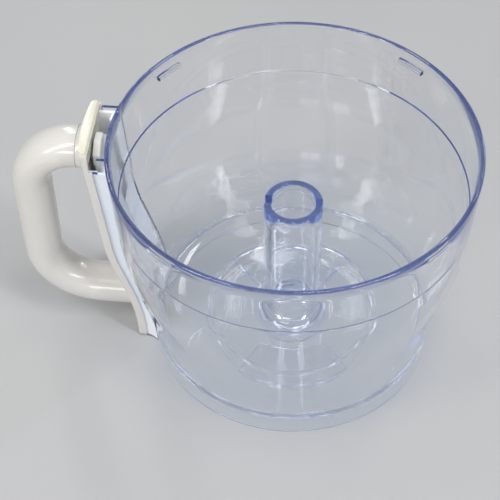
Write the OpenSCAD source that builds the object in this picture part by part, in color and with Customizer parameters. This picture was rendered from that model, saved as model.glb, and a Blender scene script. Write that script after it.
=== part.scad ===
// Clear work bowl of a food processor, with a D handle and the lid interlock rod in its spine.
// Origin: centre of the drive tube at the plane that the bowl stands on. +Z up, handle towards -X.
// Handle pieces are drawn with +X pointing out of the bowl and turned round at the end.

/* [Bowl] */
// Outer radius of the wall at the rim
rim_r = 101.2; // [98:0.1:104]
// Height of the rim above the foot
bowl_h = 150; // [148:1:152]
// Outer radius of the wall just under the lid band
belly_r = 98.6; // [98:0.1:99]
// Outer radius of the wall where it meets the foot skirt
base_r = 83; // [82.8:0.1:83.4]
// Thickness of the wall
wall_t = 2.6; // [2.2:0.1:2.8]
// Height of the step inside the wall, under the lid band
ledge_z = 116; // [112:1:118]
// Height of the floor's upper face
floor_z = 15; // [14.5:0.1:15.5]
// Thickness of the floor
floor_t = 2.4; // [2:0.1:2.8]

/* [Drive tube] */
// Outer radius of the centre tube
tube_r = 16.5; // [16.2:0.1:17]
// Radius of the bore that the motor base's shaft housing enters
bore_r = 12.7; // [12:0.1:13]
// Height of the tube's top edge
tube_h = 106; // [100:1:110]
// Radius of the cove where the tube meets the floor
cove_r = 9; // [7:0.5:10]
// Width of the notches in the tube's top edge
notch_w = 6.6; // [5:0.1:8]
// Depth of the notches in the tube's top edge
notch_h = 6; // [4:0.5:8]

/* [Lid bars and lock ring] */
// Azimuth of the first of the four lid bars
lid_bar_az = 52; // [48:1:56]
// Arc length of a lid bar in degrees
lid_bar_arc = 10; // [8:1:12]
// Outer radius of the ring under the floor
lock_r = 51; // [50:0.1:52]
// Inner radius of the ring's flanges
lock_neck_r = 28; // [27:0.5:30]
// Azimuth at which the first window between the flanges starts
lock_window_az = -45; // [-50:1:-40]
// Angle of each window between the flanges
lock_window_arc = 102; // [90:1:106]

/* [Handle] */
// Half the width of the spine, above its flare
spine_w = 21.2; // [21:0.1:21.6]
// Half the width of the spine at the foot
spine_foot_w = 21.4; // [21.2:0.1:22]
// Thickness of the handle plate
plate_t = 2.2; // [2:0.1:2.4]
// Depth of the plate's side returns
return_d = 4.9; // [4.5:0.1:5.2]
// Height of the plate's top edge
plate_top = 152.4; // [152.2:0.1:152.6]
// Distance from the tube's axis to the middle of the grip's upright
grip_s = 147.4; // [147:0.1:149]
// Height of the middle of the grip's upper arm
grip_top_z = 138.9; // [138.6:0.1:139.4]
// Height of the middle of the grip's lower arm
grip_low_z = 23.5; // [22.5:0.1:23.6]
// Radius of the grip's upper bend, to the middle of the section
grip_bend_top = 29; // [27:0.5:29]
// Radius of the grip's lower bend, to the middle of the section
grip_bend_low = 31.5; // [29:0.5:32]
// Thickness of the grip in the plane of the D
grip_t = 21; // [20.6:0.1:21.4]
// Width of the grip across the plane of the D
grip_w = 25; // [24.5:0.5:26]
// Wall thickness of the hollow grip
grip_wall = 3; // [2.5:0.1:3.5]

/* [Interlock] */
// Distance from the tube's axis to the rod's stem
stem_s = 87.7; // [87.6:0.1:87.8]
// Radius of the rod's stem
stem_r = 1.5; // [1.4:0.05:1.6]
// Distance from the tube's axis to the slide head
head_s = 105.2; // [105:0.1:105.4]
// Travel of the rod
rod_travel = 8; // [6:0.5:8]
// Wire radius of the rod spring
wire_r = 0.3; // [0.25:0.05:0.35]
// Turns of the rod spring
spring_turns = 7; // [5:0.5:8]

/* [Hidden] */
$fn = 96;

eps = 0.01;
far = 200;
// How far a cutter reaches past what it cuts
over = 1;

// Spacing of the points along the bent pieces
curve_step = 9;

// Lid band: the wall's upper part, a little wider than the belly
band_r = belly_r + 0.8;
rim_t = 2.6;
rim_chamfer = 0.6;
band_t = 2.8;
step_h = 0.8;
floor_fillet = 1.5;
skirt_draft = 0.6;
skirt_draft_in = 0.2;
tube_draft = 1;
tube_chamfer = 0.5;
bead_h = 0.5;
bead_slope = 0.6;
// Heights between which the wall draws in from the belly to the base
taper_low = 22;
taper_high = 104;
taper_steps = 10;
taper_step = (taper_high - taper_low) / taper_steps;

// Lid bars
bar_z = 141;
bar_h = 2.6;
bar_depth = 3;
bar_root = 0.8;

// Lock ring
lock_t = 2.4;
lock_foot_z = 0.8;
lock_flange_t = 2.4;
lock_lift = 3.6;

// Spine and plate, with the gap left between pieces that slide together
fit = 0.1;
spine_wall = 1.8;
housing_wall = 1.8;
flare_z = 82;
plate_foot_z = 1.5;
plate_foot_r = 93.6;
plate_top_r = 114.4;
plate_lean = 0.09;
plate_curve_low = 5;
plate_curve_high = 80;
pocket_sill_z = 139.5;
pocket_in = 103.2;
pocket_out = 108.2;
socket_end = 117.5;
socket_in = 1.2;
web_t = 1.2;
web_gap = 0.25;
web_foot_z = 43;
rod_slot_z = 49;
slot_clear = 1;
rib_t = 2;
rod_play = 0.4;
rib_heights = [64, 112];
spine_in = 60;
housing_top = 148;

// Cap: a lip over the plate's top edge and a body behind the plate
cap_top = 153.8;
cap_in = 107.6;
cap_ridge = 109.4;
cap_drop = 2.4;
cap_far_w = 20.8;
cap_near_w = 20;
cap_far_corner = 2.6;
cap_near_corner = 2.2;
cap_body_in = 108.4;
cap_body_w = 17.2;
cap_body_z = 144;

// Interlock
head_z = 137;
head_top = 149.6;
head_t = 4;
head_near = 12.4;
head_far = 1;
head_flat = 6;
ramp_z = 144.5;
bar_low_z = 38;
bar_high_z = bar_low_z + 10 * curve_step;
bar_t = 3;
bar_w = 9;
bar_wide_w = 24;
bar_wide_z = bar_low_z + 7 * curve_step;
bar_curve_low = 22;
bar_curve_high = 128;
collar_r = 2.8;
collar_t = 1.6;
guide_z = 13.5;
guide_t = 3;
foot_r = 2.2;
foot_z = 2;
foot_gap = 0.3;
foot_socket_z = 6;
foot_chamfer = 0.8;
spring_r = 2.3;
stem_clear = 0.3;

// Screws
screw_y = 8.5;
screw_r = 1.5;
screw_head_r = 2.9;
screw_head_t = 1.8;
screw_len = 15;
seat_depth = 0.7;
seat_play = 0.3;
// Play of a screw in its through hole, and share of a head's radius that its top keeps
hole_play = 0.2;
head_crown = 0.8;
cross_w = 0.7;
cross_depth = 1.8;
guide_screw_y = 12.5;
guide_screw_s = 87.2;
guide_screw_r = 1.1;
guide_head_r = 2.1;
guide_head_t = 1.3;
guide_screw_len = 9;
guide_post = 5.8;
post_over_screw = 2;

// --- Curves ---------------------------------------------------------------

function clamp01(t) = min(max(t, 0), 1);
function ease(t) = t * t * (3 - 2 * t);
function blend(z, low, high) = ease(clamp01((z - low) / (high - low)));

// Outer radius of the wall below the lid band
function wall_r(z) = base_r + (belly_r - base_r) * blend(z, taper_low, taper_high);

// Radius of the plate's outer face, which is bowed round the tube's axis
function plate_line(z) = plate_top_r - plate_lean * (plate_top - z);
function plate_r(z) = plate_foot_r
    + (plate_line(z) - plate_foot_r) * blend(z, plate_curve_low, plate_curve_high);

// Distance outwards of a point on a cylinder of radius r, at a distance y across
function out_at(r, y) = sqrt(r * r - y * y);

// Distance from the tube's axis to the middle of the rod's bar
function bar_s(z) = stem_s + (head_s - stem_s) * blend(z, bar_curve_low, bar_curve_high);

// Outline of the wall's outer face from the foot to the rim, moved outwards by d
function outer_wall(d) = concat(
    [[base_r - skirt_draft + d, 0], [base_r + d, floor_z - floor_t]],
    [for (i = [0 : taper_steps]) let (z = taper_low + taper_step * i) [wall_r(z) + d, z]],
    [[belly_r + d, ledge_z - 1], [band_r + d, ledge_z], [rim_r + d, bowl_h - rim_chamfer]]
);

// Inner face of the wall from the rim to the floor
function inner_wall() = concat(
    [
        [rim_r - rim_t, bowl_h - rim_chamfer],
        [band_r - band_t, ledge_z],
        [belly_r - wall_t, ledge_z - step_h]
    ],
    [
        for (i = [taper_steps : -1 : 0])
            let (z = taper_low + taper_step * i)
            [wall_r(z) - wall_t, z]
    ],
    [
        for (a = [0 : 30 : 90])
            [
                base_r - wall_t - floor_fillet * (1 - cos(a)),
                floor_z + floor_fillet * (1 - sin(a))
            ]
    ]
);

// Floor from the wall to the tube, with a low bead above the lock ring
function floor_line() = concat(
    [
        [lock_r + bead_slope, floor_z],
        [lock_r, floor_z + bead_h],
        [lock_r - lock_t, floor_z + bead_h],
        [lock_r - lock_t - bead_slope, floor_z]
    ],
    [
        for (a = [0 : 15 : 90])
            [
                tube_r + cove_r * (1 - sin(a)),
                floor_z + cove_r * (1 - cos(a))
            ]
    ]
);

// --- Shared shapes --------------------------------------------------------

// Turns a piece drawn along +X to the handle's side
module on_handle() {
    rotate([0, 0, 180]) children();
}

// Plate-like solid: an outline in X and Z, extruded across the handle
module across(w) {
    rotate([90, 0, 0]) linear_extrude(w, center = true) children();
}

// Solid that runs outwards: an outline in Y and Z, extruded along X
module outwards(from, to) {
    translate([from, 0, 0]) rotate([90, 0, 90]) linear_extrude(to - from) children();
}

// The bowl as one filled body, grown by d
module bowl_body(d) {
    rotate_extrude($fn = 180)
        polygon(concat([[0, -d]], outer_wall(d), [[rim_r + d, far], [0, far]]));
}

// Everything within the plate's outer face, moved inwards by d
module inside_plate(d, low, high) {
    rotate_extrude($fn = 180) polygon(concat(
        [[0, low], [plate_r(low) - d, low]],
        [for (z = [curve_step : curve_step : high - eps]) if (z > low) [plate_r(z) - d, z]],
        [[plate_r(high) - d, high], [0, high]]
    ));
}

// Half the width of the spine
function spine_half(z) = spine_w + (spine_foot_w - spine_w) * clamp01(1 - z / flare_z);

// Outline of the spine seen from outside, with its sides moved inwards by d
module spine_front(d, low, high) {
    polygon([
        [spine_half(low) - d, low],
        [spine_w - d, flare_z],
        [spine_w - d, high],
        [d - spine_w, high],
        [d - spine_w, flare_z],
        [d - spine_half(low), low]
    ]);
}

// Both side walls of a channel, between two distances in from the spine's side
module side_walls(outer, inner, low, high) {
    outwards(spine_in, far) difference() {
        spine_front(outer, low, high);
        spine_front(inner, low - over, high + over);
    }
}

// Oval section of the grip, thinner by d all round
module oval(d) {
    flat = (grip_w - grip_t) / 2;
    for (side = [-1, 1])
        translate([0, side * flat]) circle(grip_t / 2 - d);
    square([grip_t - 2 * d, 2 * flat], center = true);
}

// Straight stretch of the grip along X
module grip_arm(z, from, to, d) {
    translate([from, 0, z]) rotate([0, 90, 0]) linear_extrude(to - from) oval(d);
}

// Pan-head screw with its head's seat at the origin, pointing along +X
module screw(r, head_r, head_t, length) {
    rotate([0, 90, 0]) cylinder(r = r, h = length, $fn = 32);
    translate([-head_t, 0, 0]) rotate([0, 90, 0]) difference() {
        cylinder(r1 = head_r * head_crown, r2 = head_r, h = head_t, $fn = 48);
        for (turn = [0, 90])
            rotate([0, 0, turn]) cube([head_r, cross_w, cross_depth], center = true);
    }
}

// --- Bowl -----------------------------------------------------------------

module bowl_revolved() {
    rotate_extrude($fn = 180) polygon(concat(
        outer_wall(0),
        [[rim_r - rim_chamfer, bowl_h], [rim_r - rim_t + rim_chamfer, bowl_h]],
        inner_wall(),
        floor_line(),
        [
            [tube_r, tube_h - tube_chamfer],
            [tube_r - tube_chamfer, tube_h],
            [bore_r, tube_h],
            [bore_r, 0],
            [tube_r - tube_draft, 0],
            [tube_r, floor_z - floor_t],
            [base_r - wall_t, floor_z - floor_t],
            [base_r - wall_t - skirt_draft_in, 0]
        ]
    ));
}

module lid_bars() {
    for (i = [0 : 3])
        rotate([0, 0, lid_bar_az + 90 * i - lid_bar_arc / 2])
            rotate_extrude(angle = lid_bar_arc, $fn = 180)
                translate([rim_r - rim_t - bar_depth, bar_z])
                    square([bar_depth + bar_root, bar_h]);
}

module tube_notches() {
    translate([0, 0, tube_h - notch_h / 2 + eps])
        cube([3 * tube_r, notch_w, notch_h], center = true);
}

// Way in for the lid's lug, on the near side only
module lug_way() {
    translate([pocket_in, 0, pocket_sill_z]) cube([pocket_out - pocket_in, far, far]);
}

module spine_walls() {
    on_handle() difference() {
        intersection() {
            side_walls(0, spine_wall, 0, bowl_h);
            inside_plate(return_d, 0, bowl_h);
        }
        bowl_body(-wall_t / 2);
        lug_way();
    }
}

module bowl() {
    color([0.80, 0.84, 0.90, 0.45]) difference() {
        union() {
            bowl_revolved();
            lid_bars();
            spine_walls();
        }
        tube_notches();
    }
}

// --- Lock ring ------------------------------------------------------------

module lock_ring() {
    color([0.80, 0.84, 0.90, 0.45]) difference() {
        rotate_extrude($fn = 180) polygon([
            [lock_neck_r, lock_foot_z],
            [lock_r, lock_foot_z],
            [lock_r, floor_z - floor_t],
            [lock_r - lock_t, floor_z - floor_t],
            [lock_r - lock_t, lock_foot_z + lock_flange_t],
            [lock_neck_r, lock_foot_z + lock_flange_t]
        ]);
        // Two windows for the lugs of the motor base
        for (i = [0, 1])
            rotate([0, 0, lock_window_az + 180 * i])
                rotate_extrude(angle = lock_window_arc, $fn = 180)
                    translate([lock_neck_r - over, lock_foot_z - over])
                        square([lock_r - lock_neck_r + 2 * over, lock_lift + over]);
    }
}

// --- Handle ---------------------------------------------------------------

// Distance outwards of the plate's inner face at a grip screw, and of the screw's seat
function screw_face(z) = out_at(plate_r(z) - plate_t, screw_y);
function screw_seat(z) = screw_face(z) + seat_depth;

module grip_screw_holes(r) {
    for (side = [-1, 1], z = [grip_low_z, grip_top_z])
        translate([0, side * screw_y, z]) rotate([0, 90, 0]) cylinder(r = r, h = far, $fn = 32);
}

// Flat seats for the screws' heads, in the plate's inner face
module grip_screw_seats() {
    for (side = [-1, 1], z = [grip_low_z, grip_top_z])
        translate([screw_seat(z) - far, side * screw_y, z])
            rotate([0, 90, 0]) cylinder(r = screw_head_r + seat_play, h = far, $fn = 48);
}

module handle_plate() {
    color([0.90, 0.89, 0.87]) on_handle() difference() {
        union() {
            // Plate with its two side returns
            intersection() {
                difference() {
                    inside_plate(0, plate_foot_z, plate_top);
                    difference() {
                        inside_plate(plate_t, 0, far);
                        side_walls(-eps, spine_wall, 0, far);
                    }
                    inside_plate(return_d, 0, far);
                }
                outwards(spine_in, far) spine_front(0, 0, far);
            }
            // Socket that the grip's upper arm butts against
            grip_arm(grip_top_z, plate_r(grip_top_z) - socket_in, socket_end, 0);
        }
        grip_screw_holes(screw_r + hole_play);
        grip_screw_seats();
        lug_way();
    }
}

module grip_shape(d) {
    upright_low = grip_low_z + grip_bend_low;
    upright_high = grip_top_z - grip_bend_top;
    grip_arm(grip_top_z, socket_end, grip_s - grip_bend_top, d);
    translate([grip_s - grip_bend_top, 0, upright_high])
        rotate([90, 0, 0]) rotate_extrude(angle = 90) translate([grip_bend_top, 0]) oval(d);
    translate([grip_s, 0, upright_low])
        linear_extrude(upright_high - upright_low) oval(d);
    translate([grip_s - grip_bend_low, 0, upright_low])
        rotate([90, 0, 0]) rotate([0, 0, -90])
            rotate_extrude(angle = 90) translate([grip_bend_low, 0]) oval(d);
    grip_arm(grip_low_z, plate_foot_r - grip_t / 4, grip_s - grip_bend_low, d);
}

module grip() {
    solid_end = 12;
    arm_split_z = 66;
    color([0.90, 0.89, 0.87]) on_handle() difference() {
        grip_shape(0);
        // Hollow, but solid at both ends for the screws
        difference() {
            grip_shape(grip_wall);
            translate([0, -far / 2, arm_split_z]) cube([socket_end + solid_end, far, far]);
            translate([0, -far / 2, arm_split_z - far])
                cube([plate_r(grip_low_z) + solid_end, far, far]);
        }
        inside_plate(0, 0, plate_top);
        grip_screw_pilots();
    }
}

module grip_screw_pilots() {
    for (side = [-1, 1])
        for (z = [grip_low_z, grip_top_z])
            translate([screw_face(z), side * screw_y, z])
                rotate([0, 90, 0]) cylinder(r = screw_r, h = grip_screw_length(z), $fn = 32);
}

// The upper screws reach through the socket as well
function grip_screw_length(z) =
    z == grip_top_z ? screw_len + socket_end - screw_face(z) - 2 * plate_t : screw_len - plate_t;

module grip_screws() {
    color([0.70, 0.71, 0.73]) on_handle()
        for (side = [-1, 1], z = [grip_low_z, grip_top_z])
            translate([screw_seat(z), side * screw_y, z])
                screw(screw_r, screw_head_r, screw_head_t, grip_screw_length(z) - seat_depth);
}

// Plan of the cap's lip, more rounded at its far end
module cap_plan() {
    hull() for (end = [-1, 1]) {
        r = end < 0 ? cap_far_corner : cap_near_corner;
        w = (end < 0 ? cap_far_w : cap_near_w) - r;
        translate([cap_in + r, end * w]) circle(r, $fn = 32);
        for (y = [w, w / 2, 0])
            translate([out_at(plate_top_r - r, y), end * y]) circle(r, $fn = 32);
    }
}

module top_cap() {
    color([0.93, 0.92, 0.85]) on_handle() difference() {
        union() {
            translate([0, 0, plate_top]) linear_extrude(cap_top - plate_top) cap_plan();
            intersection() {
                translate([cap_body_in, -cap_body_w, cap_body_z])
                    cube([far, 2 * cap_body_w, plate_top - cap_body_z + eps]);
                inside_plate(plate_t + fit, 0, far);
            }
        }
        // Slope towards the bowl
        across(far) polygon([
            [cap_in - over, cap_top - cap_drop * (cap_ridge - cap_in + over) / (cap_ridge - cap_in)],
            [cap_ridge, cap_top],
            [cap_ridge, far],
            [cap_in - over, far]
        ]);
    }
}

// --- Interlock ------------------------------------------------------------

// Width of the rod's bar
function rod_width(z) = z < bar_wide_z ? bar_w : bar_wide_w;

// Cross ribs that keep the rod's bar in line, each with a slot for its bent path
module rod_ribs() {
    for (z = rib_heights) {
        slot_in = bar_s(z) - bar_t / 2 - rod_play;
        slot_out = bar_s(z + rib_t + rod_travel) + bar_t / 2 + rod_play;
        slot_w = rod_width(z + rod_travel) + 2 * rod_play;
        difference() {
            intersection() {
                translate([spine_in, -far / 2, z]) cube([far, far, rib_t]);
                outwards(spine_in, far) spine_front(spine_wall + housing_wall / 2, 0, far);
                inside_plate(plate_t + fit, 0, far);
            }
            translate([slot_in, -slot_w / 2, z - eps])
                cube([slot_out - slot_in, slot_w, rib_t + 2 * eps]);
        }
    }
}

module guide_screw_holes(r) {
    for (side = [-1, 1])
        translate([guide_screw_s, side * guide_screw_y, 0])
            cylinder(r = r, h = guide_z + guide_screw_len, $fn = 32);
}

// Posts on the side walls that the guide is screwed to
module guide_posts() {
    post_h = guide_screw_len - guide_t + post_over_screw;
    intersection() {
        for (side = [0, 1])
            mirror([0, side, 0])
                translate([guide_screw_s, guide_screw_y, guide_z + guide_t])
                    translate([-guide_post / 2, -guide_post / 2, 0])
                        cube([guide_post, far, post_h]);
        outwards(spine_in, far) spine_front(spine_wall + housing_wall - fit, 0, far);
        inside_plate(plate_t + fit, 0, far);
    }
}

module rod_slot(w, low) {
    half = w / 2 + rod_play;
    translate([-half, low]) square([2 * half, far]);
}

module rod_housing() {
    color([0.94, 0.94, 0.96]) on_handle() difference() {
        union() {
            // Side walls, behind the clear ones
            intersection() {
                side_walls(spine_wall + fit, spine_wall + housing_wall, plate_foot_z, housing_top);
                inside_plate(plate_t + fit, plate_foot_z, housing_top);
            }
            // Web that lies along the bowl's wall, with a slot that the rod shows through
            intersection() {
                bowl_body(web_gap + web_t);
                outwards(spine_in, far) difference() {
                    spine_front(spine_wall + housing_wall / 2, web_foot_z, housing_top);
                    rod_slot(bar_w, rod_slot_z);
                    rod_slot(bar_wide_w, bar_wide_z - rod_travel - slot_clear);
                }
            }
            rod_ribs();
            guide_posts();
        }
        bowl_body(web_gap);
        // Way in for the lid's lug
        translate([spine_in, 0, pocket_sill_z - slot_clear]) cube(far);
        guide_screw_holes(guide_screw_r);
    }
}

// Head on the near half of the rod, with a ramp that the lid's lug rides up
module slide_head() {
    color([0.86, 0.86, 0.84]) on_handle()
        outwards(head_s - head_t / 2, head_s + head_t / 2) polygon([
            [-head_far, head_z],
            [head_near, head_z],
            [head_near, ramp_z],
            [head_flat, head_top],
            [-head_far, head_top]
        ]);
}

// Bent bar of the rod between two heights, which stand at points of its curve
module rod_bar(w, low, high) {
    across(w) polygon(concat(
        [for (z = [low : curve_step : high]) [bar_s(z) - bar_t / 2, z]],
        [for (z = [high : -curve_step : low]) [bar_s(z) + bar_t / 2, z]]
    ));
}

module push_rod() {
    color([0.92, 0.92, 0.93]) on_handle() {
        rod_bar(bar_w, bar_low_z, bar_wide_z);
        rod_bar(bar_wide_w, bar_wide_z, bar_high_z);
        // Straight top that carries the head
        translate([head_s - bar_t / 2, -bar_wide_w / 2, bar_high_z - eps])
            cube([bar_t, bar_wide_w, head_z - bar_high_z + eps]);
        // Collar that the spring pushes up
        translate([stem_s, 0, bar_low_z - collar_t]) cylinder(r = collar_r, h = collar_t + eps);
        translate([stem_s, 0, foot_socket_z]) cylinder(r = stem_r, h = bar_low_z - foot_socket_z);
    }
}

module rod_foot() {
    color([0.35, 0.36, 0.38]) on_handle() translate([stem_s, 0, 0]) difference() {
        rotate_extrude() polygon([
            [0, foot_z],
            [foot_r - foot_chamfer, foot_z],
            [foot_r, foot_z + foot_chamfer],
            [foot_r, guide_z - foot_gap],
            [0, guide_z - foot_gap]
        ]);
        translate([0, 0, foot_socket_z]) cylinder(r = stem_r, h = far);
    }
}

// Compression spring: a round wire swept along a helix with closed ends
module rod_spring() {
    low = guide_z + guide_t + wire_r;
    high = bar_low_z - collar_t - wire_r;
    sides = 8;
    per_turn = 20;
    steps = spring_turns * per_turn;
    // Share of a turn at each end in which the wire lies on itself
    closed = 0.75;
    closed_pitch = 2.04 * wire_r;
    // Turns past the closed stretch at either end
    past_first = function (i) i / per_turn - closed;
    past_last = function (i) (i - steps) / per_turn + closed;
    height = function (i)
        low + closed_pitch * (closed + min(past_first(i), 0) + max(past_last(i), 0))
        + (high - low - 2 * closed * closed_pitch)
        * clamp01(past_first(i) / (spring_turns - 2 * closed));
    points = [
        for (i = [0 : steps], k = [0 : sides - 1])
            let (a = i * 360 / per_turn, b = k * 360 / sides, r = spring_r + wire_r * cos(b))
            [r * cos(a), r * sin(a), height(i) + wire_r * sin(b)]
    ];
    body = [
        for (i = [0 : steps - 1], k = [0 : sides - 1])
            let (a = i * sides + k, b = i * sides + (k + 1) % sides)
            [a, b, b + sides, a + sides]
    ];
    ends = [
        [for (k = [sides - 1 : -1 : 0]) k],
        [for (k = [0 : sides - 1]) steps * sides + k]
    ];
    color([0.75, 0.76, 0.78]) on_handle() translate([stem_s, 0, 0])
        polyhedron(points, concat(body, ends), convexity = 10);
}

module rod_guide() {
    color([0.94, 0.94, 0.96]) on_handle() difference() {
        intersection() {
            translate([spine_in, -far / 2, guide_z]) cube([far, far, guide_t]);
            outwards(spine_in, far) spine_front(spine_wall + housing_wall + fit, 0, far);
            inside_plate(plate_t + 2 * fit, 0, far);
        }
        bowl_body(web_gap);
        translate([stem_s, 0, 0]) cylinder(r = stem_r + stem_clear, h = far / 2);
        guide_screw_holes(guide_screw_r + hole_play);
    }
}

module guide_screws() {
    color([0.70, 0.71, 0.73]) on_handle()
        for (side = [-1, 1])
            translate([guide_screw_s, side * guide_screw_y, guide_z])
                rotate([0, -90, 0]) screw(guide_screw_r, guide_head_r, guide_head_t, guide_screw_len);
}

bowl();
lock_ring();
handle_plate();
grip();
grip_screws();
rod_housing();
top_cap();
slide_head();
push_rod();
rod_foot();
rod_spring();
rod_guide();
guide_screws();
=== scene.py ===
"""Looks of a clear food processor work bowl with a D handle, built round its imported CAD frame."""

import math

import bmesh
import bpy
import numpy as np
from mathutils import Matrix, Vector


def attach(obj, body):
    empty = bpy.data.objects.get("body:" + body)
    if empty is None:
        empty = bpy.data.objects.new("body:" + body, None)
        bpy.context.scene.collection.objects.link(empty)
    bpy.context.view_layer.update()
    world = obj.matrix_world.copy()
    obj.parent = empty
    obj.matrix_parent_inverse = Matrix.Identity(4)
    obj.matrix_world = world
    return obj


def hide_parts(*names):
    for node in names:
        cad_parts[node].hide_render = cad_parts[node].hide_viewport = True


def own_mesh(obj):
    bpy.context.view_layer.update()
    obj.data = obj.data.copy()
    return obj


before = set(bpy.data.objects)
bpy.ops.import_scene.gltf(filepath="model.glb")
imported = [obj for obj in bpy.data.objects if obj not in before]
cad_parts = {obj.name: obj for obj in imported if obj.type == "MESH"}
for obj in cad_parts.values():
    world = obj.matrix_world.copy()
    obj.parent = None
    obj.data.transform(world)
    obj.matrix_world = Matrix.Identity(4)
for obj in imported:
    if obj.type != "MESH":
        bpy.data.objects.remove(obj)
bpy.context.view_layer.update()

MM = 0.001
BODY = "bowl_body"
ROD_BODY = "interlock"

# --- Sizes in millimetres, as the CAD has them -------------------------------

RIM_R, RIM_T, BOWL_H = 101.2, 2.6, 150.0
BELLY_R, BASE_R, WALL_T = 98.6, 83.0, 2.6
TAPER_LOW, TAPER_HIGH = 22.0, 104.0
LEDGE_Z, STEP_H, BAND_R, BAND_T = 116.0, 0.8, 99.4, 2.8
FLOOR_Z, FLOOR_T, SKIRT_DRAFT, SKIRT_DRAFT_IN, TUBE_DRAFT = 15.0, 2.4, 0.6, 0.2, 1.0
BEAD_H, BEAD_SLOPE = 0.5, 0.6
TUBE_R, BORE_R, TUBE_H, COVE_R = 16.5, 12.7, 106.0, 9.0
NOTCH_W, NOTCH_H = 6.6, 6.0
BAR_AZ, BAR_ARC, BAR_Z, BAR_H, BAR_DEPTH, BAR_ROOT = 52.0, 10.0, 141.0, 2.6, 3.0, 0.8
LOCK_R, LOCK_T, LOCK_NECK_R = 51.0, 2.4, 28.0
LOCK_FOOT_Z, LOCK_FLANGE_T, LOCK_LIFT = 0.8, 2.4, 3.6
WINDOW_AZ, WINDOW_ARC = -45.0, 102.0
SPINE_W, SPINE_FOOT_W, SPINE_WALL, FLARE_Z = 21.2, 21.4, 1.8, 82.0
PLATE_T, RETURN_D, PLATE_FOOT_Z, PLATE_TOP = 2.2, 4.9, 1.5, 152.4
PLATE_FOOT_R, PLATE_TOP_R, PLATE_LEAN = 93.6, 114.4, 0.09
PLATE_BOW_Z, PLATE_BOW_H = 5.0, 75.0
POCKET_SILL_Z, POCKET_IN, POCKET_OUT = 139.5, 103.2, 108.2
GRIP_S, GRIP_TOP_Z, GRIP_LOW_Z = 147.4, 138.9, 23.5
BEND_TOP, BEND_LOW, GRIP_T, GRIP_W = 29.0, 31.5, 21.0, 25.0
SOCKET_END = 117.5
CAP_TOP, CAP_IN, CAP_RIDGE, CAP_DROP = 153.8, 107.6, 109.4, 2.4
CAP_W, CAP_NEAR_W = 20.8, 20.0
CAP_NEAR_CORNER = 2.2
CAP_BODY_IN, CAP_BODY_W, CAP_BODY_Z = 108.4, 17.2, 144.0
HOUSING_WALL, HOUSING_TOP, WEB_GAP, WEB_T, WEB_FOOT_Z = 1.8, 148.0, 0.25, 1.2, 43.0
STEM_S, STEM_R, HEAD_S, HEAD_T = 87.7, 1.5, 105.2, 4.0
HEAD_Z, HEAD_TOP, RAMP_Z, HEAD_NEAR, HEAD_FAR, HEAD_FLAT = 137.0, 149.6, 144.5, 12.4, 1.0, 6.0
BAR_BEND_Z, BAR_LOW_Z, BAR_HIGH_Z, BAR_WIDE_Z = 22.0, 38.0, 128.0, 101.0
ROD_T, ROD_W, ROD_WIDE_W = 3.0, 9.0, 24.0
COLLAR_R, COLLAR_T, FOOT_R, FOOT_Z, FOOT_TOP = 2.8, 1.6, 2.2, 2.0, 13.2
SPRING_R, WIRE_R, SPRING_TURNS = 2.3, 0.3, 7
SPRING_LOW, SPRING_HIGH, ROD_TRAVEL = 16.5, 36.4, 8.0

# --- What the looks add, in millimetres, all of it inside the CAD's box ------

# The spine's clear walls and the channel spread towards the bowl at their foot
FOOT_FLARE, FLARE_TOP = 5.0, 34.0
# Share of the way from the plate to the bowl, and share of the flare at that place
FLARE_SHARES = ((1, 1.0), (0.85, 0.68), (0.72, 0.42), (0.45, 0.14), (0.2, 0.02), (0, 0.0))
# The channel's bowl side stands back over a stretch of its height
SET_BACK, SET_BACK_TOP, SET_BACK_FADE = 5.2, 62.0, 18.0
SET_BACK_LOW, SET_BACK_RISE = 9.0, 24.0
# The grip's inner side, where the fingers close, swells about half way up
SWELL, SWELL_Z, SWELL_H = 1.4, 88.0, 25.0
# The rim's edges and the cap's far corner are rounder than the CAD's
RIM_ROUND, CAP_FAR_CORNER = 1.1, 2.8
# Air at each side of the rod in the web's slot
SLOT_AIR = 0.4
# How far the lock ring's top is set into the floor, and the grip's foot into the plate
RING_SET_IN, GRIP_SET_IN = 0.25, 1.9
# How far a cutter reaches to either side
CUT_REACH = 30.0
# Air between the channel and the clear walls and the plate beside it
CHANNEL_AIR = 0.1

# Most bounces of light, since light that enters an edge is guided along inside the wall
LONG_PATH = 72


def ease(t):
    t = min(max(t, 0.0), 1.0)
    return t * t * (3 - 2 * t)


def wall_r(z):
    """Outer radius of the wall below the lid band."""
    return BASE_R + (BELLY_R - BASE_R) * ease((z - TAPER_LOW) / (TAPER_HIGH - TAPER_LOW))


def body_r(z):
    """Outer radius of the bowl at any height."""
    if z >= LEDGE_Z:
        return BAND_R + (RIM_R - BAND_R) * min((z - LEDGE_Z) / (BOWL_H - 0.6 - LEDGE_Z), 1)
    if z < TAPER_LOW:
        return BASE_R - SKIRT_DRAFT * max(1 - z / (FLOOR_Z - FLOOR_T), 0)
    return wall_r(z)


def plate_r(z):
    """Radius of the handle plate's outer face, which is bowed round the tube's axis."""
    line = PLATE_TOP_R - PLATE_LEAN * (PLATE_TOP - z)
    return PLATE_FOOT_R + (line - PLATE_FOOT_R) * ease((z - PLATE_BOW_Z) / PLATE_BOW_H)


def out_at(r, off):
    """Distance outwards of a point on a cylinder of radius r."""
    return math.sqrt(r * r - off * off)


def bar_s(z):
    """Distance from the tube's axis to the middle of the rod's bar."""
    return STEM_S + (HEAD_S - STEM_S) * ease((z - BAR_BEND_Z) / (BAR_HIGH_Z - BAR_BEND_Z))


def spine_w(z):
    """Half the width of the spine."""
    return SPINE_W + (SPINE_FOOT_W - SPINE_W) * max(1 - z / FLARE_Z, 0)


# --- Mesh helpers ------------------------------------------------------------


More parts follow.
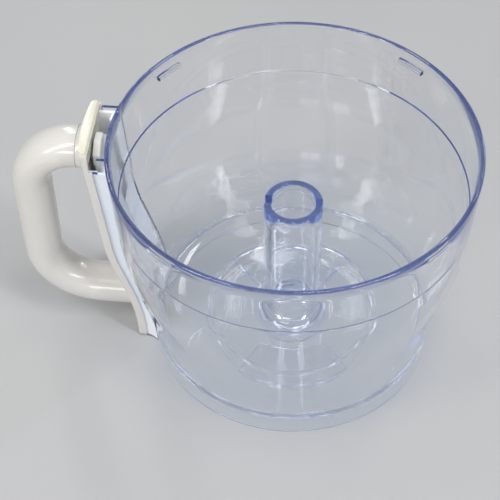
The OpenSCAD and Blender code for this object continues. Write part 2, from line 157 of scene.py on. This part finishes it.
def rounded(corners, spans=5):
    """A closed outline with its corners rounded. Each corner is (x, y, radius)."""
    out = []
    count = len(corners)
    for i, (x, y, r) in enumerate(corners):
        p = np.array([x, y], float)
        a = np.array(corners[i - 1][:2], float) - p
        b = np.array(corners[(i + 1) % count][:2], float) - p
        la, lb = np.linalg.norm(a), np.linalg.norm(b)
        a, b = a / la, b / lb
        cos = float(np.clip(a @ b, -1, 1))
        half = math.acos(cos) / 2
        if r <= 0 or half > math.radians(89):
            out.append(tuple(p))
            continue
        reach = min(r / math.tan(half), 0.49 * min(la, lb))
        r = reach * math.tan(half)
        centre = p + (a + b) / np.linalg.norm(a + b) * r / math.sin(half)
        start, end = p + a * reach - centre, p + b * reach - centre
        turn = math.pi - 2 * half
        for k in range(spans + 1):
            t = k / spans
            v = (start * math.sin((1 - t) * turn) + end * math.sin(t * turn)) / math.sin(turn)
            out.append(tuple(centre + v))
    return out


def new_object(name, verts, faces):
    """A mesh object from points in millimetres, with its normals turned outwards."""
    mesh = bpy.data.meshes.new(name)
    mesh.from_pydata([tuple(c * MM for c in v) for v in verts], [], faces)
    mesh.validate()
    obj = bpy.data.objects.new(name, mesh)
    bpy.context.scene.collection.objects.link(obj)
    bm = bmesh.new()
    bm.from_mesh(mesh)
    bmesh.ops.remove_doubles(bm, verts=bm.verts, dist=1e-7)
    bmesh.ops.recalc_face_normals(bm, faces=bm.faces)
    bm.to_mesh(mesh)
    bm.free()
    return obj


def lathe(name, outline, segments, start=0.0, sweep=360.0):
    """A closed outline of (radius, height) turned about the tube's axis."""
    whole = sweep >= 360
    rows = segments if whole else segments + 1
    count = len(outline)
    verts = []
    for i in range(rows):
        a = math.radians(start + sweep * i / segments)
        verts += [(r * math.cos(a), r * math.sin(a), z) for r, z in outline]
    faces = []
    for i in range(segments):
        j = (i + 1) % rows
        for k in range(count):
            m = (k + 1) % count
            faces.append((i * count + k, j * count + k, j * count + m, i * count + m))
    if not whole:
        faces.append(tuple(range(count)))
        faces.append(tuple((rows - 1) * count + k for k in reversed(range(count))))
    return new_object(name, verts, faces)


def loft(name, sections):
    """A skin over closed outlines with the same number of points, capped at both ends."""
    count, rows = len(sections[0]), len(sections)
    verts = [p for s in sections for p in s]
    faces = []
    for i in range(rows - 1):
        for k in range(count):
            m = (k + 1) % count
            low, high = i * count, (i + 1) * count
            faces.append((low + k, low + m, high + m, high + k))
    faces.append(tuple(reversed(range(count))))
    faces.append(tuple((rows - 1) * count + k for k in range(count)))
    return new_object(name, verts, faces)


def on_handle(s, off, z):
    """A point given by its distance from the axis, its offset to the near side and its height."""
    return (-s, -off, z)


def apply_modifiers(obj):
    """Bakes an object's modifiers into its mesh."""
    bpy.context.view_layer.update()
    graph = bpy.context.evaluated_depsgraph_get()
    mesh = bpy.data.meshes.new_from_object(obj.evaluated_get(graph))
    obj.modifiers.clear()
    obj.data = mesh
    return obj


def combine(obj, other, how):
    """Adds other to obj, or cuts it out of obj."""
    m = obj.modifiers.new("combine", "BOOLEAN")
    m.operation = how
    m.object = other
    m.solver = "MANIFOLD"
    apply_modifiers(obj)
    bpy.data.objects.remove(other)


def bevel(obj, width, segments, angle):
    """Rounds the edges that are sharper than an angle."""
    m = obj.modifiers.new("edges", "BEVEL")
    m.width = width * MM
    m.segments = segments
    m.limit_method = "ANGLE"
    m.angle_limit = math.radians(angle)
    m.harden_normals = False
    return apply_modifiers(obj)


def steps(low, high, spacing):
    """Even steps from low to high, about a spacing apart."""
    count = max(int(round((high - low) / spacing)), 1)
    return [low + (high - low) * i / count for i in range(count + 1)]


def paint(obj, material):
    """Gives an object one material in place of those it has."""
    obj.data.materials.clear()
    obj.data.materials.append(material)


def place(obj, body, node, material, angle=32):
    """Shades a piece and hands it to its body, in place of a CAD node where one is named."""
    obj.data.shade_smooth()
    obj.data.set_sharp_from_angle(angle=math.radians(angle))
    paint(obj, material)
    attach(obj, body)
    if node:
        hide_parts(node)
    return obj


# --- Materials ---------------------------------------------------------------


def node_tree(name):
    """A new material, with its node tree, its shader and its output."""
    material = bpy.data.materials.new(name)
    material.use_nodes = True
    tree = material.node_tree
    return material, tree, tree.nodes["Principled BSDF"], tree.nodes["Material Output"]


def noise(tree, scale, detail=4.0, rough=0.5, stretch=None):
    """A noise texture in the piece's own coordinates."""
    coords = tree.nodes.new("ShaderNodeTexCoord")
    texture = tree.nodes.new("ShaderNodeTexNoise")
    texture.inputs["Scale"].default_value = scale
    texture.inputs["Detail"].default_value = detail
    texture.inputs["Roughness"].default_value = rough
    source = coords.outputs["Object"]
    if stretch:
        mapping = tree.nodes.new("ShaderNodeMapping")
        mapping.inputs["Scale"].default_value = stretch
        tree.links.new(source, mapping.inputs["Vector"])
        source = mapping.outputs["Vector"]
    tree.links.new(source, texture.inputs["Vector"])
    return texture.outputs["Fac"]


def remap(tree, value, low, high, out_low, out_high):
    """A value moved from one range to another and kept inside it."""
    node = tree.nodes.new("ShaderNodeMapRange")
    node.inputs["From Min"].default_value = low
    node.inputs["From Max"].default_value = high
    node.inputs["To Min"].default_value = out_low
    node.inputs["To Max"].default_value = out_high
    tree.links.new(value, node.inputs["Value"])
    return node.outputs["Result"]


def two_tone(tree, value, first, second):
    """A colour between two colours."""
    mix = tree.nodes.new("ShaderNodeMix")
    mix.data_type = "RGBA"
    mix.inputs["A"].default_value = (*first, 1)
    mix.inputs["B"].default_value = (*second, 1)
    tree.links.new(value, mix.inputs["Factor"])
    return mix.outputs["Result"]


def bumps(tree, shader, layers):
    """Stacks bump layers of (height, distance in metres, strength)."""
    normal = None
    for value, distance, strength in layers:
        bump = tree.nodes.new("ShaderNodeBump")
        bump.inputs["Distance"].default_value = distance
        bump.inputs["Strength"].default_value = strength
        tree.links.new(value, bump.inputs["Height"])
        if normal:
            tree.links.new(normal, bump.inputs["Normal"])
        normal = bump.outputs["Normal"]
    tree.links.new(normal, shader.inputs["Normal"])


def clear_plastic(name, tint, density, wave):
    """Clear polycarbonate that is blue where it is seen edge on."""
    material, tree, shader, output = node_tree(name)
    shader.inputs["Base Color"].default_value = (1, 1, 1, 1)
    shader.inputs["Transmission Weight"].default_value = 1.0
    shader.inputs["IOR"].default_value = 1.57
    haze = noise(tree, 55, 5, 0.6)
    tree.links.new(remap(tree, haze, 0.35, 0.75, 0.008, 0.03), shader.inputs["Roughness"])
    bumps(
        tree,
        shader,
        [
            (noise(tree, 11, 1, 0.3, (1, 1, 0.3)), 0.0005 * wave, 0.5),
            (noise(tree, 60, 2, 0.4, (1, 1, 0.5)), 0.00004 * wave, 0.5),
        ],
    )
    through = tree.nodes.new("ShaderNodeBsdfTransparent")
    through.inputs["Color"].default_value = (0.93, 0.945, 0.96, 1)
    # Lamps and light from the floor reach what is behind the wall without being bent
    path = tree.nodes.new("ShaderNodeLightPath")
    either = tree.nodes.new("ShaderNodeMath")
    either.operation = "MAXIMUM"
    tree.links.new(path.outputs["Is Shadow Ray"], either.inputs[0])
    tree.links.new(path.outputs["Is Diffuse Ray"], either.inputs[1])
    mix = tree.nodes.new("ShaderNodeMixShader")
    tree.links.new(either.outputs["Value"], mix.inputs["Fac"])
    tree.links.new(shader.outputs["BSDF"], mix.inputs[1])
    tree.links.new(through.outputs["BSDF"], mix.inputs[2])
    tree.links.new(mix.outputs["Shader"], output.inputs["Surface"])
    absorb = tree.nodes.new("ShaderNodeVolumeAbsorption")
    absorb.inputs["Color"].default_value = (*tint, 1)
    absorb.inputs["Density"].default_value = density
    tree.links.new(absorb.outputs["Volume"], output.inputs["Volume"])
    return material


def moulded(name, light, dark, rough, grain=0.4, coat=0.0):
    """Moulded plastic: a slow change of tone, uneven gloss, orange peel and fine marks."""
    material, tree, shader, _ = node_tree(name)
    tone = remap(tree, noise(tree, 22, 5, 0.6), 0.3, 0.7, 0, 1)
    tree.links.new(two_tone(tree, tone, light, dark), shader.inputs["Base Color"])
    gloss = remap(tree, noise(tree, 140, 6, 0.65), 0.3, 0.7, rough * 0.8, rough * 1.25)
    tree.links.new(gloss, shader.inputs["Roughness"])
    shader.inputs["Coat Weight"].default_value = coat
    shader.inputs["Coat Roughness"].default_value = 0.12
    shader.inputs["Subsurface Weight"].default_value = 0.08
    shader.inputs["Subsurface Scale"].default_value = 0.004
    bumps(
        tree,
        shader,
        [
            (noise(tree, 60, 2, 0.4), 0.0002, grain),
            (noise(tree, 900, 3, 0.5), 0.00003, grain),
        ],
    )
    return material


def metal(name, colour, rough):
    """Metal with a slightly uneven tone and gloss."""
    material, tree, shader, _ = node_tree(name)
    tone = remap(tree, noise(tree, 400, 4, 0.6), 0.3, 0.7, 0, 1)
    darker = tuple(c * 0.8 for c in colour)
    tree.links.new(two_tone(tree, tone, colour, darker), shader.inputs["Base Color"])
    shader.inputs["Metallic"].default_value = 1.0
    gloss = remap(tree, noise(tree, 900, 4, 0.6), 0.3, 0.7, rough * 0.7, rough * 1.3)
    tree.links.new(gloss, shader.inputs["Roughness"])
    bumps(tree, shader, [(noise(tree, 1500, 2, 0.5), 0.00002, 0.4)])
    return material


CLEAR = clear_plastic("clear_wall", (0.25, 0.40, 0.77), 16.5, 1.0)
CLEAR_RING = clear_plastic("clear_ring", (0.40, 0.55, 0.92), 10.0, 0.6)
OFF_WHITE = moulded("off_white_gloss", (0.66, 0.64, 0.60), (0.62, 0.60, 0.56), 0.2, 0.12, 0.5)
CREAM = moulded("cream_gloss", (0.72, 0.70, 0.57), (0.68, 0.66, 0.53), 0.26, 0.15, 0.3)
LINER = moulded("liner_white", (0.92, 0.92, 0.93), (0.89, 0.89, 0.91), 0.38, 0.2)
GREY = moulded("slide_grey", (0.62, 0.62, 0.58), (0.56, 0.56, 0.53), 0.45, 0.5)
ROD = moulded("rod_white", (0.74, 0.75, 0.77), (0.70, 0.71, 0.74), 0.4, 0.4)
DARK = moulded("foot_dark", (0.05, 0.05, 0.055), (0.035, 0.035, 0.04), 0.5, 0.5)
STEEL = metal("screw_steel", (0.62, 0.62, 0.64), 0.3)
SPRING_STEEL = metal("spring_steel", (0.50, 0.50, 0.52), 0.35)


# --- Bowl --------------------------------------------------------------------


def bowl_outline():
    """Section of the bowl, up the outside, down the inside, over the floor and round the tube."""
    under = FLOOR_Z - FLOOR_T
    band_in, rim_in = BAND_R - BAND_T, RIM_R - RIM_T
    band_levels = (124, 132, 140)
    tube_levels = (40, 60, 80, 95)

    def band_point(low_r, high_r, z):
        return (low_r + (high_r - low_r) * (z - LEDGE_Z) / (BOWL_H - LEDGE_Z), z, 0)

    corners = [(BASE_R - SKIRT_DRAFT, 0, 0.6), (BASE_R, under, 0)]
    corners += [(wall_r(z), z, 0) for z in steps(TAPER_LOW, TAPER_HIGH, 2)]
    corners += [(BELLY_R, LEDGE_Z - 1, 0.5), (BAND_R, LEDGE_Z, 0.5)]
    corners += [band_point(BAND_R, RIM_R, z) for z in band_levels]
    corners += [(RIM_R, BOWL_H, RIM_ROUND), (rim_in, BOWL_H, RIM_ROUND)]
    corners += [band_point(band_in, rim_in, z) for z in reversed(band_levels)]
    corners += [(band_in, LEDGE_Z, 0.3), (BELLY_R - WALL_T, LEDGE_Z - STEP_H, 0.4)]
    corners += [(wall_r(z) - WALL_T, z, 0) for z in reversed(steps(TAPER_LOW, TAPER_HIGH, 2))]
    corners += [
        (BASE_R - WALL_T, FLOOR_Z, 2.2),
        (70, FLOOR_Z, 0),
        (60, FLOOR_Z, 0),
        (LOCK_R + BEAD_SLOPE, FLOOR_Z, 0.3),
        (LOCK_R, FLOOR_Z + BEAD_H, 0.3),
        (LOCK_R - LOCK_T, FLOOR_Z + BEAD_H, 0.3),
        (LOCK_R - LOCK_T - BEAD_SLOPE, FLOOR_Z, 0.3),
        (38, FLOOR_Z, 0),
    ]
    for a in range(0, 91, 10):
        t = math.radians(a)
        r = TUBE_R + COVE_R * (1 - math.sin(t))
        corners.append((r, FLOOR_Z + COVE_R * (1 - math.cos(t)), 0))
    corners += [(TUBE_R, z, 0) for z in tube_levels]
    corners += [(TUBE_R, TUBE_H, 0.8), (BORE_R, TUBE_H, 0.6)]
    corners += [(BORE_R, z, 0) for z in (*reversed(tube_levels), 20)]
    corners += [
        (BORE_R, 0, 0.4),
        (TUBE_R - TUBE_DRAFT, 0, 0.4),
        (TUBE_R, under, 1.2),
        (40, under, 0),
        (60, under, 0),
        (BASE_R - WALL_T, under, 1.2),
        (BASE_R - WALL_T - SKIRT_DRAFT_IN, 0, 0.6),
    ]
    return rounded(corners)


def flared_row(near_r, far_r, w, z, set_back=0.0):
    """Points (s, off) from the bowl to the plate, flared towards the bowl at the spine's foot."""
    flare = FOOT_FLARE * ease(1 - z / FLARE_TOP)
    far_s = out_at(far_r, w)
    row = []
    for share, spread in FLARE_SHARES:
        off = w + flare * spread
        near_s = out_at(near_r, off) + set_back
        row.append((near_s * share + far_s * (1 - share), off))
    return row


def spine_wall(side):
    """One clear side wall of the spine, flared where its foot meets the bowl's skirt."""
    levels = steps(0, POCKET_SILL_Z, 3)
    levels += [POCKET_SILL_Z + 0.001, 145, BOWL_H] if side > 0 else [145, BOWL_H]
    sections = []
    for z in levels:
        w, mid, end = spine_w(z), body_r(z) - WALL_T / 2, plate_r(z) - RETURN_D
        if side > 0 and z > POCKET_SILL_Z:
            end = math.hypot(POCKET_IN, w)
        row = flared_row(mid, end, w, z) + flared_row(mid, end, w - SPINE_WALL, z)[::-1]
        sections.append([on_handle(s, side * off, z) for s, off in row])
    return loft("spine_wall", sections)


def make_bowl():
    """The clear moulding with its four lid bars, the spine's walls and the notch in the tube."""
    bowl = lathe("bowl_clear", bowl_outline(), 288)
    tip, root = RIM_R - RIM_T - BAR_DEPTH, RIM_R - RIM_T + BAR_ROOT
    bar = rounded([
        (tip, BAR_Z, 0.5),
        (root, BAR_Z, 0),
        (root, BAR_Z + BAR_H, 0),
        (tip, BAR_Z + BAR_H, 0.5),
    ])
    for i in range(4):
        start = BAR_AZ + 90 * i - BAR_ARC / 2
        combine(bowl, lathe("lid_bar", bar, 12, start, BAR_ARC), "UNION")
    for side in (-1, 1):
        combine(bowl, spine_wall(side), "UNION")
    half, low, high = NOTCH_W / 2, TUBE_H - NOTCH_H, TUBE_H + 5
    outline = rounded([(-half, low, 0.8), (half, low, 0.8), (half, high, 0), (-half, high, 0)])
    cutter = loft("notch", [[(x, y, z) for y, z in outline] for x in (-CUT_REACH, CUT_REACH)])
    combine(bowl, cutter, "DIFFERENCE")
    return place(bowl, BODY, "bowl", CLEAR, 30)


def make_lock_ring():
    """The ring under the floor, cut away from below in two windows."""
    top = FLOOR_Z - FLOOR_T + RING_SET_IN
    flange_top = LOCK_FOOT_Z + LOCK_FLANGE_T
    ring = lathe(
        "lock_ring_clear",
        rounded([
            (LOCK_NECK_R, LOCK_FOOT_Z, 0.5),
            (LOCK_R, LOCK_FOOT_Z, 0.5),
            (LOCK_R, top, 0),
            (LOCK_R - LOCK_T, top, 0),
            (LOCK_R - LOCK_T, flange_top, 0.8),
            (LOCK_NECK_R, flange_top, 0.5),
        ]),
        240,
    )
    outline = [
        (LOCK_NECK_R - 2, LOCK_FOOT_Z - 2),
        (LOCK_R + 2, LOCK_FOOT_Z - 2),
        (LOCK_R + 2, LOCK_FOOT_Z + LOCK_LIFT),
        (LOCK_NECK_R - 2, LOCK_FOOT_Z + LOCK_LIFT),
    ]
    for start in (WINDOW_AZ, WINDOW_AZ + 180):
        combine(ring, lathe("window", outline, 90, start, WINDOW_ARC), "DIFFERENCE")
    return place(ring, BODY, "lock_ring", CLEAR_RING, 30)


# --- Handle ------------------------------------------------------------------


def arc(r, start, end, count):
    """Points (s, off) on a circle round the tube's axis, between two offsets."""
    offsets = [start + (end - start) * k / count for k in range(count + 1)]
    return [(out_at(r, off), off) for off in offsets]


def make_plate():
    """The bowed plate with its two side returns, and the near one cut back for the lid's lug."""
    sections = []
    levels = [z for z in steps(PLATE_FOOT_Z, PLATE_TOP, 3) if abs(z - POCKET_SILL_Z) > 1]
    for z in sorted(levels + [POCKET_SILL_Z, POCKET_SILL_Z + 0.01]):
        r, w = plate_r(z), spine_w(z)
        inner = w - SPINE_WALL
        near_end = out_at(r - RETURN_D, w)
        if z > POCKET_SILL_Z:
            near_end = POCKET_OUT
        corners = [(near_end, w, 0.3)]
        outer = arc(r, w, -w, 12)
        corners += [(*outer[0], 1.6), *((a, b, 0) for a, b in outer[1:-1]), (*outer[-1], 2.4)]
        corners += [(out_at(r - RETURN_D, w), -w, 0.3), (out_at(r - RETURN_D, inner), -inner, 0.3)]
        back = arc(r - PLATE_T, -inner, inner, 12)
        corners += [(*back[0], 0.4), *((a, b, 0) for a, b in back[1:-1]), (*back[-1], 0.4)]
        corners += [(max(out_at(r - RETURN_D, inner), near_end), inner, 0.3)]
        sections.append([on_handle(a, b, z) for a, b in rounded(corners, 4)])
    plate = bevel(loft("handle_plate_shell", sections), 0.35, 2, 60)
    return place(plate, BODY, "handle_plate", OFF_WHITE)


def oval(thick, wide, count=96, power=2.25):
    """Section of the grip: a soft rounded oval."""
    points = []
    for k in range(count):
        a = 2 * math.pi * k / count
        c, s = math.cos(a), math.sin(a)
        points.append((
            thick / 2 * math.copysign(abs(c) ** (2 / power), c),
            wide / 2 * math.copysign(abs(s) ** (2 / power), s),
        ))
    return points


def grip_path():
    """(s, z, degrees turned from straight out) from the upper arm to the lower arm."""
    path = []
    top_bend = (GRIP_S - BEND_TOP, GRIP_TOP_Z - BEND_TOP)
    low_bend = (GRIP_S - BEND_LOW, GRIP_LOW_Z + BEND_LOW)
    path.append((SOCKET_END, GRIP_TOP_Z, 0))
    for a in steps(0, 90, 2.5):
        t = math.radians(a)
        path.append((top_bend[0] + BEND_TOP * math.sin(t), top_bend[1] + BEND_TOP * math.cos(t), a))
    for z in steps(top_bend[1], low_bend[1], 3)[1:-1]:
        path.append((GRIP_S, z, 90))
    for a in steps(90, 180, 2.5):
        t = math.radians(a)
        path.append((low_bend[0] + BEND_LOW * math.sin(t), low_bend[1] + BEND_LOW * math.cos(t), a))
    foot = plate_r(GRIP_LOW_Z) - GRIP_SET_IN
    for s in steps(low_bend[0], foot, 1.5)[1:]:
        path.append((s, GRIP_LOW_Z, 180))
    return path


def make_grip():
    """The D shaped grip, a little fuller on its inner side half way up."""
    sections = []
    for s, z, a in grip_path():
        t = math.radians(a)
        out = (math.sin(t), math.cos(t))
        swell = SWELL * math.exp(-(((z - SWELL_Z) / SWELL_H) ** 2)) * ease((s - 140) / 7)
        points = []
        for u, v in oval(GRIP_T, GRIP_W):
            if u < 0:
                u -= swell * (-u / (GRIP_T / 2)) ** 0.8
            points.append(on_handle(s + out[0] * u, v, z + out[1] * u))
        sections.append(points)
    grip = loft("grip_moulding", sections)
    return place(grip, BODY, "grip", OFF_WHITE, 50)


def make_socket():
    """Collar on the plate that the upper arm butts against, with a groove at the seam."""
    root = plate_r(GRIP_TOP_Z)
    # Distance from the axis, and how far the section stands out from the grip's
    rows = [
        (root - 1.2, 0.9),
        (root - 0.2, 0.7),
        (root + 0.7, 0.25),
        (root + 1.6, 0),
        (SOCKET_END - 0.5, 0),
        (SOCKET_END - 0.15, -0.2),
        (SOCKET_END - 0.05, -0.7),
        (SOCKET_END + 0.3, -0.8),
    ]
    sections = []
    for s, spread in rows:
        outline = oval(GRIP_T + 2 * spread, GRIP_W + 2 * spread)
        sections.append([on_handle(s, v, GRIP_TOP_Z + u) for u, v in outline])
    collar = loft("grip_collar", sections)
    return place(collar, BODY, None, OFF_WHITE, 50)


def upright(name, plan, low, high):
    """A prism that stands on the handle's side, from a plan of (s, off)."""
    return loft(name, [[on_handle(s, off, z) for s, off in plan] for z in (low, high)])


def make_cap():
    """Lip over the plate's top edge, sloping down to the bowl, and a body behind the plate."""
    rim = arc(PLATE_TOP_R, CAP_NEAR_W, -CAP_W, 10)
    plan = rounded([
        (CAP_IN, CAP_NEAR_W, CAP_NEAR_CORNER),
        (*rim[0], CAP_NEAR_CORNER),
        *((a, b, 0) for a, b in rim[1:-1]),
        (*rim[-1], CAP_FAR_CORNER),
        (CAP_IN, -CAP_W, CAP_FAR_CORNER),
    ], 8)
    cap = upright("cap_cream", plan, PLATE_TOP - 0.3, CAP_TOP)
    r = plate_r(CAP_BODY_Z) - PLATE_T - 0.15
    back = arc(r, CAP_BODY_W, -CAP_BODY_W, 8)
    outline = [(CAP_BODY_IN, CAP_BODY_W), *back, (CAP_BODY_IN, -CAP_BODY_W)]
    body = upright("cap_body", outline, CAP_BODY_Z, PLATE_TOP + 0.4)
    combine(cap, body, "UNION")
    slope = CAP_DROP / (CAP_RIDGE - CAP_IN)
    wedge = [
        (CAP_IN - 1, CAP_TOP - CAP_DROP - slope),
        (CAP_RIDGE, CAP_TOP),
        (CAP_RIDGE, CAP_TOP + 3),
        (CAP_IN - 1, CAP_TOP + 3),
    ]
    sides = (-CUT_REACH, CUT_REACH)
    cutter = loft("wedge", [[on_handle(s, off, z) for s, z in wedge] for off in sides])
    combine(cap, cutter, "DIFFERENCE")
    bevel(cap, 0.45, 3, 20)
    return place(cap, BODY, "top_cap", CREAM, 50)


def make_liner(side, name, node):
    """One half of the white channel: a side wall that turns in along the bowl as a web."""
    top = POCKET_SILL_Z - 1 if side > 0 else HOUSING_TOP
    wide_z = BAR_WIDE_Z - ROD_TRAVEL - 1
    sections = []
    for z in steps(PLATE_FOOT_Z, top, 3):
        w = spine_w(z) - SPINE_WALL - CHANNEL_AIR
        inner = w - HOUSING_WALL + CHANNEL_AIR
        slot = (ROD_WIDE_W if z > wide_z else ROD_W) / 2 + SLOT_AIR
        r = body_r(z) + WEB_GAP + CHANNEL_AIR / 2
        end = plate_r(z) - PLATE_T - CHANNEL_AIR
        fade = ease((SET_BACK_TOP - z) / SET_BACK_FADE)
        set_back = SET_BACK * fade * ease((z - SET_BACK_LOW) / SET_BACK_RISE)
        points = flared_row(r, end, w, z, set_back)
        back = flared_row(r, end, inner, z, set_back)[::-1]
        if z < WEB_FOOT_Z:
            # The web starts higher up, so its points lie in one place here
            points += back + [back[-1]] * 12
        else:
            points += back[:-1] + [(out_at(r + WEB_T, inner), inner)]
            points += [(out_at(r + WEB_T, y), y) for y in np.linspace(inner, slot, 6)]
            points += [(out_at(r, y), y) for y in np.linspace(slot, inner, 6)]
        sections.append([on_handle(a, side * b, z) for a, b in points])
    return place(loft(name, sections), BODY, node, LINER)


def turned_on_stem(name, outline):
    """A closed outline turned about the stem's axis."""
    obj = lathe(name, outline, 48)
    obj.data.transform(Matrix.Translation((-STEM_S * MM, 0, 0)))
    return obj


def make_rod():
    """The bent bar, broad above and narrow below, with its collar and stem."""
    half = ROD_T / 2
    sections = []
    levels = steps(BAR_LOW_Z, BAR_WIDE_Z, 4) + steps(BAR_WIDE_Z + 0.01, BAR_HIGH_Z, 4) + [HEAD_Z]
    for z in levels:
        s = bar_s(z)
        w = (ROD_W if z <= BAR_WIDE_Z else ROD_WIDE_W) / 2
        back, front = s - half, s + half
        outline = rounded([(back, -w, 0.5), (front, -w, 0.5), (front, w, 0.5), (back, w, 0.5)], 3)
        sections.append([on_handle(a, b, z) for a, b in outline])
    bar = loft("rod_bar", sections)
    low = BAR_LOW_Z - COLLAR_T
    stem = turned_on_stem("rod_stem", rounded([
        (0, 6, 0),
        (STEM_R, 6, 0.3),
        (STEM_R, low, 0.2),
        (COLLAR_R, low, 0.3),
        (COLLAR_R, BAR_LOW_Z + 0.3, 0.3),
        (0, BAR_LOW_Z + 0.3, 0),
    ]))
    combine(bar, stem, "UNION")
    return place(bar, ROD_BODY, "push_rod", ROD)


def make_head():
    """Head of the slide, with the ramp that the lid's lug pushes down."""
    outline = rounded([
        (-HEAD_FAR, HEAD_Z, 0.3),
        (HEAD_NEAR, HEAD_Z, 0.3),
        (HEAD_NEAR, RAMP_Z, 1.0),
        (HEAD_FLAT, HEAD_TOP, 1.0),
        (-HEAD_FAR, HEAD_TOP, 0.5),
    ])
    ends = (HEAD_S - HEAD_T / 2, HEAD_S + HEAD_T / 2)
    head = loft("slide_head_grey", [[on_handle(s, y, z) for y, z in outline] for s in ends])
    return place(bevel(head, 0.35, 3, 50), ROD_BODY, "slide_head", GREY)


def make_foot():
    """The plunger tip, pushed on to the stem's end."""
    foot = turned_on_stem("rod_foot_dark", rounded([
        (0, FOOT_Z, 0),
        (FOOT_R, FOOT_Z, 1.2),
        (FOOT_R, FOOT_TOP, 0.3),
        (STEM_R + 0.02, FOOT_TOP, 0.1),
        (STEM_R + 0.02, 6.2, 0),
        (0, 6.2, 0),
    ]))
    return place(foot, ROD_BODY, "rod_foot", DARK)


def make_spring():
    """Round wire wound as a compression spring, closed at both ends."""
    per_turn, sides = 28, 10
    count = SPRING_TURNS * per_turn
    pitch = 2 * WIRE_R * 1.05
    low, high = SPRING_LOW + WIRE_R, SPRING_HIGH - WIRE_R
    sections = []
    for i in range(count + 1):
        turn = i / per_turn
        ends = pitch * (min(turn, 1) + max(turn - SPRING_TURNS + 1, 0))
        rise = min(max((turn - 1) / (SPRING_TURNS - 2), 0), 1)
        z = low + ends + (high - low - 2 * pitch) * rise
        a = 2 * math.pi * turn
        ring = []
        for k in range(sides):
            b = 2 * math.pi * k / sides
            r = SPRING_R + WIRE_R * math.cos(b)
            ring.append((r * math.cos(a) - STEM_S, r * math.sin(a), z + WIRE_R * math.sin(b)))
        sections.append(ring)
    spring = loft("spring_wire", sections)
    place(spring, BODY, "rod_spring", SPRING_STEEL, 50)
    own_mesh(spring)
    return spring


make_bowl()
make_lock_ring()
make_plate()
make_grip()
make_socket()
make_cap()
make_liner(-1, "liner_far", "rod_housing")
make_liner(1, "liner_near", None)
make_rod()
make_head()
make_foot()
make_spring()

# CAD nodes that are shown as they are, with a better material
for node, material in (("rod_guide", LINER), ("grip_screws", STEEL), ("guide_screws", STEEL)):
    paint(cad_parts[node], material)

# --- Floor, light and camera --------------------------------------------------


def make_floor():
    """A plain pale disc with a faint change of tone."""
    bpy.ops.mesh.primitive_circle_add(vertices=96, radius=4, fill_type="NGON")
    floor = bpy.context.object
    floor.name = "floor"
    material, tree, shader, _ = node_tree("floor_pale")
    tone = remap(tree, noise(tree, 3, 3, 0.5), 0.3, 0.7, 0, 1)
    colour = two_tone(tree, tone, (0.46, 0.46, 0.455), (0.43, 0.43, 0.43))
    tree.links.new(colour, shader.inputs["Base Color"])
    shader.inputs["Roughness"].default_value = 0.6
    floor.data.materials.append(material)


def area_light(name, place_at, aim, size, power):
    """A rectangular soft light that the camera doesn't see, in metres and watts."""
    light = bpy.data.lights.new(name, "AREA")
    light.shape = "RECTANGLE"
    light.size, light.size_y = size
    light.energy = power
    obj = bpy.data.objects.new(name, light)
    bpy.context.scene.collection.objects.link(obj)
    obj.location = place_at
    obj.rotation_mode = "QUATERNION"
    obj.rotation_quaternion = (Vector(aim) - Vector(place_at)).to_track_quat("-Z", "Y")
    obj.visible_camera = False


def make_lights():
    """A dim even room, two tall windows in front, and softer lights above and around."""
    middle = (0, 0, 0.08)
    world = bpy.data.worlds.new("studio")
    bpy.context.scene.world = world
    world.use_nodes = True
    background = world.node_tree.nodes["Background"]
    background.inputs["Color"].default_value = (0.84, 0.86, 0.89, 1)
    background.inputs["Strength"].default_value = 0.5
    area_light("window_left", (-1.1, -0.9, 1.5), middle, (0.26, 1.9), 18)
    area_light("window_right", (1.15, -0.75, 1.4), middle, (0.22, 1.9), 15)
    area_light("overhead", (0.2, -0.2, 1.9), (0, 0, 0), (0.35, 0.35), 5)
    area_light("fill_front", (-0.5, -1.7, 0.7), (-0.05, 0, 0.08), (0.9, 0.5), 8)
    area_light("strip_left", (-0.75, 1.5, 1.3), middle, (0.14, 0.9), 4)
    area_light("strip_right", (0.95, 1.4, 1.3), middle, (0.14, 0.9), 4)


def make_camera():
    """The camera stands in front and above, a little to the right, and leans a little."""
    turn, roll = math.radians(7), math.radians(-1.19)
    at = Vector((-24.67, -527.86, 682.34)) * MM
    aim = Vector((-24.67, 0, 65.26)) * MM
    back = (at - aim).normalized()
    level = Vector((1, 0, 0))
    over = back.cross(level)
    right = level * math.cos(roll) + over * math.sin(roll)
    up = over * math.cos(roll) - level * math.sin(roll)
    pose = Matrix.Identity(4)
    for row in range(3):
        pose[row] = (right[row], up[row], back[row], at[row])
    camera = bpy.data.objects.new("camera", bpy.data.cameras.new("camera"))
    bpy.context.scene.collection.objects.link(camera)
    camera.matrix_world = Matrix.Rotation(turn, 4, "Z") @ pose
    camera.data.sensor_width = 36
    camera.data.lens = 101.3
    camera.data.clip_end = 50
    bpy.context.scene.camera = camera


make_floor()
make_lights()
make_camera()
bpy.context.scene.view_settings.view_transform = "Standard"
for limit in ("max_bounces", "transmission_bounces", "glossy_bounces", "transparent_max_bounces"):
    setattr(bpy.context.scene.cycles, limit, LONG_PATH)
